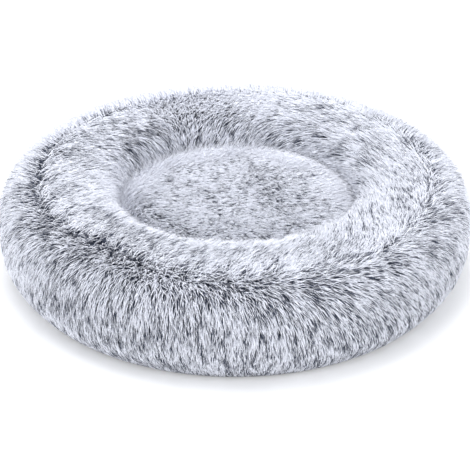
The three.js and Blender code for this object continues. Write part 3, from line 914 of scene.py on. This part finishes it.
# The crown is an arch on the outer plate, and the pull hangs in it.
arch, arch_hole = rounded(8.6 * MM, 4.6 * MM, 1.3 * MM), rounded(7 * MM, 3 * MM, 0.9 * MM)
crown = stamped(arch, arch_hole, 1.6 * MM, 0.25 * MM)
slider = joined(
    [
        (on_chain(plate[0], "auo", -PLATE_OFFSET), plate[1]),
        (on_chain(plate[0], "auo", PLATE_OFFSET), plate[1]),
        (on_chain(web[0], "aou"), web[1]),
        (on_chain(crown[0], "aou", SLIDER_FACE + 0.9 * MM), crown[1]),
    ]
)
piece("zip_slider_body", *slider, zinc, "slider", "metal", ("zip_slider",), smooth=False)

# The pull: a stamped tab with a narrow eye at one end and a round tip at the other.
EYE_END, EYE_HALF = 5.3 * MM, 2.6 * MM
TIP_RADIUS = PULL_WIDTH / 2
tip = [
    (PULL_LENGTH - TIP_RADIUS * (1 - math.sin(math.radians(a))), -TIP_RADIUS * math.cos(math.radians(a)))
    for a in range(0, 181, 15)
]
tab_outline = [
    (-0.6 * MM, -EYE_HALF),
    (EYE_END, -EYE_HALF),
    (EYE_END + 3.5 * MM, -TIP_RADIUS),
    *tip,
    (EYE_END + 3.5 * MM, TIP_RADIUS),
    (EYE_END, EYE_HALF),
    (-0.6 * MM, EYE_HALF),
]
eye = rounded(4.7 * MM, 2.8 * MM, 0.5 * MM, (2.95 * MM, 0))
tab = stamped(tab_outline, eye, PULL_THICKNESS, 0.3 * MM)
tab_points = on_chain(tab[0], "auo", SLIDER_FACE + PULL_PIVOT)
piece("zip_pull_tab", tab_points, tab[1], zinc, "pull", "metal", ("zip_pull",), smooth=False)


# ---------------------------------------------------------------------------------------------------------
# Care label: a loop of blank woven satin ribbon, folded at the bottom and sewn in under the outer panel.

LABEL_AT = 215  # degrees from +X
LABEL_WIDTH = 30 * MM
LABEL_TOP, LABEL_BOTTOM = BAND_TOP - 1 * MM, 3 * MM
SATIN_WHITE = "#f2f2f0"

# Woven polyester satin: a soft gloss and fine ribs across the ribbon.
satin, tree, shader = material("woven satin ribbon", Roughness=0.4)
weave(tree, shader, 1.5 * MM, 0.1 * MM, SATIN_WHITE)

label_half = math.degrees(LABEL_WIDTH / 2 / BASE_RADIUS)
drop = np.linspace(0, 1, 14)
label_z = LABEL_TOP - drop * (LABEL_TOP - LABEL_BOTTOM)
# The inner leaf stands off the band lower down, and the outer leaf bows away from it.
inner_leaf = BASE_RADIUS + 0.35 * MM + 1.6 * MM * drop**2
outer_leaf = inner_leaf + 0.35 * MM + 0.5 * MM * np.sin(drop * np.pi)
loop_r, loop_z = np.concatenate([outer_leaf, inner_leaf[::-1]]), np.concatenate([label_z, label_z[::-1]])
points, faces = swept(loop_r, loop_z, LABEL_AT - label_half, LABEL_AT + label_half, 24)
label = piece("care_ribbon", points, faces, satin, "bed", "label", ("care_label",))
lay(label, BASE_RADIUS * np.arctan2(points[:, 1], points[:, 0]), points[:, 2])


# ---------------------------------------------------------------------------------------------------------
# Loose cushion: a shorter, finer plush over the top and side, sewn to a grey cloth underside, round an insert
# of hollow fibre in a non-woven sleeve. It lies in the well by its own weight and lifts straight out.

CUSHION_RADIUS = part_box("cushion_fur_top")[1][0]
CUSHION_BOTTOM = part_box("cushion_base_cloth")[0][2]
CUSHION_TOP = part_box("cushion_fur_top")[1][2]
CUSHION_WIDEST_Z = CUSHION_BOTTOM + 0.45 * (CUSHION_TOP - CUSHION_BOTTOM)
CUSHION_POWER = 9.0  # squareness of its section, which the pile fills out
CUSHION_SEAM = -42  # degrees on its section, where the plush ends
CUSHION_INSET = 6 * MM  # of the backing, under the pile
FINE_LENGTH = 19 * MM
FINE_SPACING = 1.9 * MM
FINE_WIDTH = 1.15 * MM
FINE_LOCK = 9 * MM, 5 * MM  # length and breadth of a lock, and of a streak
FINE_STREAK = 11 * MM, 2.6 * MM
SIDE_ANGLE, SIDE_SHARE = 20, 0.45  # below this angle only a share of the tufts is drawn, and thicker
FINE_BEARING = -52  # degrees: which way the pile lies in the middle
FINE_FAN = -24  # degrees more at its right edge, and less at its left


def cushion_section(start, end, inset, steps=80):
    """Radii, heights and angles of the cushion's section: -90 is the middle of its underside and 90 the
    middle of its top."""
    angles = np.linspace(start, end, 4001)
    turn = np.radians(angles)
    rise = np.where(turn >= 0, CUSHION_TOP - CUSHION_WIDEST_Z, CUSHION_WIDEST_Z - CUSHION_BOTTOM) - inset
    radii = (CUSHION_RADIUS - inset) * np.abs(np.cos(turn)) ** (2 / CUSHION_POWER)
    heights = CUSHION_WIDEST_Z + rise * np.sign(turn) * np.abs(np.sin(turn)) ** (2 / CUSHION_POWER)
    return evenly(angles, np.maximum(radii, PINHOLE), heights, steps)


def shell(start, end, outer, inner):
    """Closed section of a layer of the cushion, between two insets: radii and heights."""
    face, back = cushion_section(start, end, outer), cushion_section(end, start, inner)
    return np.concatenate([face[0], back[0]]), np.concatenate([face[1], back[1]])


insert = piece(
    "cushion_insert",
    *turned(*cushion_section(-90, 90, 15 * MM)[:2], closed=True, lumps=1 * MM, seed=21),
    insert_white,
    "cushion",
    "fibre",
    ("cushion_fill",),
)

# Cloth underside, drawn in a little by the seam.
points, faces = turned(*shell(-90, CUSHION_SEAM - 0.25, 0, 0.8 * MM), around=288, closed=True)
turn = np.arctan2(points[:, 1], points[:, 0])
seam_z = cushion_section(CUSHION_SEAM, 0, 0)[1][0]
pucker = 0.5 * MM * np.sin(turn * 64) * np.exp(-np.abs(points[:, 2] - seam_z) / (8 * MM))
points[:, :2] *= (1 - np.abs(pucker) / CUSHION_RADIUS)[:, None]
cushion_cloth = piece("cushion_cloth", points, faces, oxford, "cushion", "oxford", ("cushion_base_cloth",))
lay(cushion_cloth, points[:, 0], points[:, 1])

piece(
    "cushion_backing",
    *turned(*shell(CUSHION_SEAM, 90, CUSHION_INSET, CUSHION_INSET + BACKING_THICKNESS), closed=True),
    knit,
    "cushion",
    "plush",
    ("cushion_fur_top",),
)

# Pile. The side is sparser, since it is pressed against the wall of the well.
*face, face_angle = cushion_section(CUSHION_SEAM + 2, 90, CUSHION_INSET, 400)
place, turn, along = scattered(*face, FINE_SPACING, CHANCE)
on_side = np.interp(place, along, face_angle) < SIDE_ANGLE
kept = ~on_side | (CHANCE.random(len(place)) < SIDE_SHARE)
place, turn, on_side = place[kept], turn[kept], on_side[kept]
tuft_count = len(turn)
roots, normals = on_surface(*face, along, place, turn)[:2]
x, y = roots[:, 0], roots[:, 1]
ripple_x, ripple_y = x / (70 * MM), 3 * y

# The pile lies one way all over, as on the cloth it was cut from. Round the edge it fluffs out and up.
reach = np.hypot(x, y) / CUSHION_RADIUS
edge = np.clip((reach + swell(turn, 0 * turn, 0.03, 13) - 0.72) / 0.16, 0, 1)
edge = edge**2 * (3 - 2 * edge)
bearing = np.radians(FINE_BEARING + FINE_FAN * x / CUSHION_RADIUS) + swell(ripple_x, ripple_y, 0.1, 11)
flow = np.stack([np.cos(bearing), np.sin(bearing), 0 * bearing], 1) + CHANCE.normal(0, 0.12, roots.shape)
outward = np.stack([np.cos(turn), np.sin(turn), 0 * turn], 1)
fluffed = np.clip((reach - 0.3) / 0.6, 0, 1) ** 2 * (1.1 + 0.6 * np.cos(turn - math.radians(FINE_BEARING)))
flow += fluffed[:, None] * outward
flow[:, 2] += 1.1 * edge
flow -= normals * np.sum(flow * normals, 1)[:, None]
flow /= np.linalg.norm(flow, axis=1)[:, None]

lock_place, lock_turn = nearest_lock(face[0], along, place, turn, *FINE_LOCK, CHANCE)
pull = (on_surface(*face, along, lock_place, lock_turn)[0] - roots) * 0.5
streak = nearest_lock(face[0], along, place, turn, *FINE_STREAK, CHANCE)
in_streak = lot(*streak, *STREAK_LOT) < INNER_LIMIT
# The dye shows more where the pile has been ruffled, right of the middle. Round the edge the pile is painted
# whiter and shows fewer streaks: painted light, lifting the shade in the gap by the wall of the well.
ruffle = np.exp(-(((x - 90 * MM) / (70 * MM)) ** 2) - ((y - 30 * MM) / (80 * MM)) ** 2)
tone = 1.0 + 0.3 * edge - 0.16 * ruffle + swell(ripple_x, ripple_y, 0.04, 12, 9)
tone = tone + 0.1 * lot(lock_place, lock_turn) + np.where(in_streak, -0.74 * (1 - 0.75 * edge), 0.16)
frost_and_painted_light = np.clip(tone + CHANCE.normal(0, 0.16, tuft_count), 0, 1)
length = FINE_LENGTH * CHANCE.uniform(0.75, 1.1, tuft_count) * (1 + 0.6 * edge)
start = 45 - 12 * edge + CHANCE.normal(0, 6, tuft_count)
end = 84 - 16 * edge + CHANCE.normal(0, 6, tuft_count)
width = FINE_WIDTH * CHANCE.uniform(0.7, 1.25, tuft_count) * (1 + 0.6 * on_side)
order = np.argsort(turn)
for number, chosen in enumerate(np.array_split(order, math.ceil(tuft_count / PIECE_TUFTS))):
    tufts(
        f"cushion_pile_{number + 1:02d}",
        roots[chosen],
        normals[chosen],
        flow[chosen],
        length[chosen],
        start[chosen],
        end[chosen],
        width[chosen],
        frost_and_painted_light[chosen],
        plush,
        "cushion",
        pull[chosen],
    )


# ---------------------------------------------------------------------------------------------------------
# Studio: a white sweep of paper, lifted a little by a faint light of its own, under four soft boxes. The
# camera stands well back in front of the bed and looks down on it through a long lens.

floor_mesh = bpy.data.meshes.new("sweep")
floor_mesh.from_pydata([(-30, -30, 0), (30, -30, 0), (30, 30, 0), (-30, 30, 0)], [], [(0, 1, 2, 3)])
floor = bpy.data.objects.new("sweep", floor_mesh)
bpy.context.scene.collection.objects.link(floor)
floor_paint, tree, shader = material("white sweep paper", Roughness=1.0, Base_Color=(0.9, 0.9, 0.9, 1))
shader.inputs["Emission Color"].default_value = (1, 1, 1, 1)
shader.inputs["Emission Strength"].default_value = 0.18
floor_mesh.materials.append(floor_paint)

bpy.context.scene.view_settings.view_transform = "Standard"
world = bpy.data.worlds.new("studio")
bpy.context.scene.world = world
world.use_nodes = True
world.node_tree.nodes["Background"].inputs["Color"].default_value = (0.92, 0.945, 1.0, 1)
world.node_tree.nodes["Background"].inputs["Strength"].default_value = 0.78


def lamp(name, at, size, watts, colour=(1, 1, 1)):
    """A square soft box that faces the bed."""
    light = bpy.data.lights.new(name, "AREA")
    light.size, light.energy, light.color = size, watts, colour
    made = bpy.data.objects.new(name, light)
    made.location = at
    bpy.context.scene.collection.objects.link(made)
    made.rotation_euler = (-made.location).to_track_quat("-Z", "Y").to_euler()


lamp("overhead_softbox", (-0.3, 0.2, 2.6), 2.2, 48)
lamp("well_softbox", (0, 0.15, 1.9), 0.6, 10.5)
lamp("left_softbox", (-2.2, -2.4, 1.1), 1.8, 33)
lamp("right_softbox", (2.3, -2.2, 1.3), 1.8, 34)

ELEVATION = 29.7  # degrees above the floor
DISTANCE, AIM_Z = 3.58, 0.0545  # from the point that it looks at, and the height of that point
camera = bpy.data.cameras.new("camera")
camera.lens, camera.sensor_width = 160, 36
made = bpy.data.objects.new("camera", camera)
bpy.context.scene.collection.objects.link(made)
tilt = math.radians(ELEVATION)
made.location = (0, -DISTANCE * math.cos(tilt), AIM_Z + DISTANCE * math.sin(tilt))
made.rotation_euler = (math.pi / 2 - tilt, 0, 0)
bpy.context.scene.camera = made
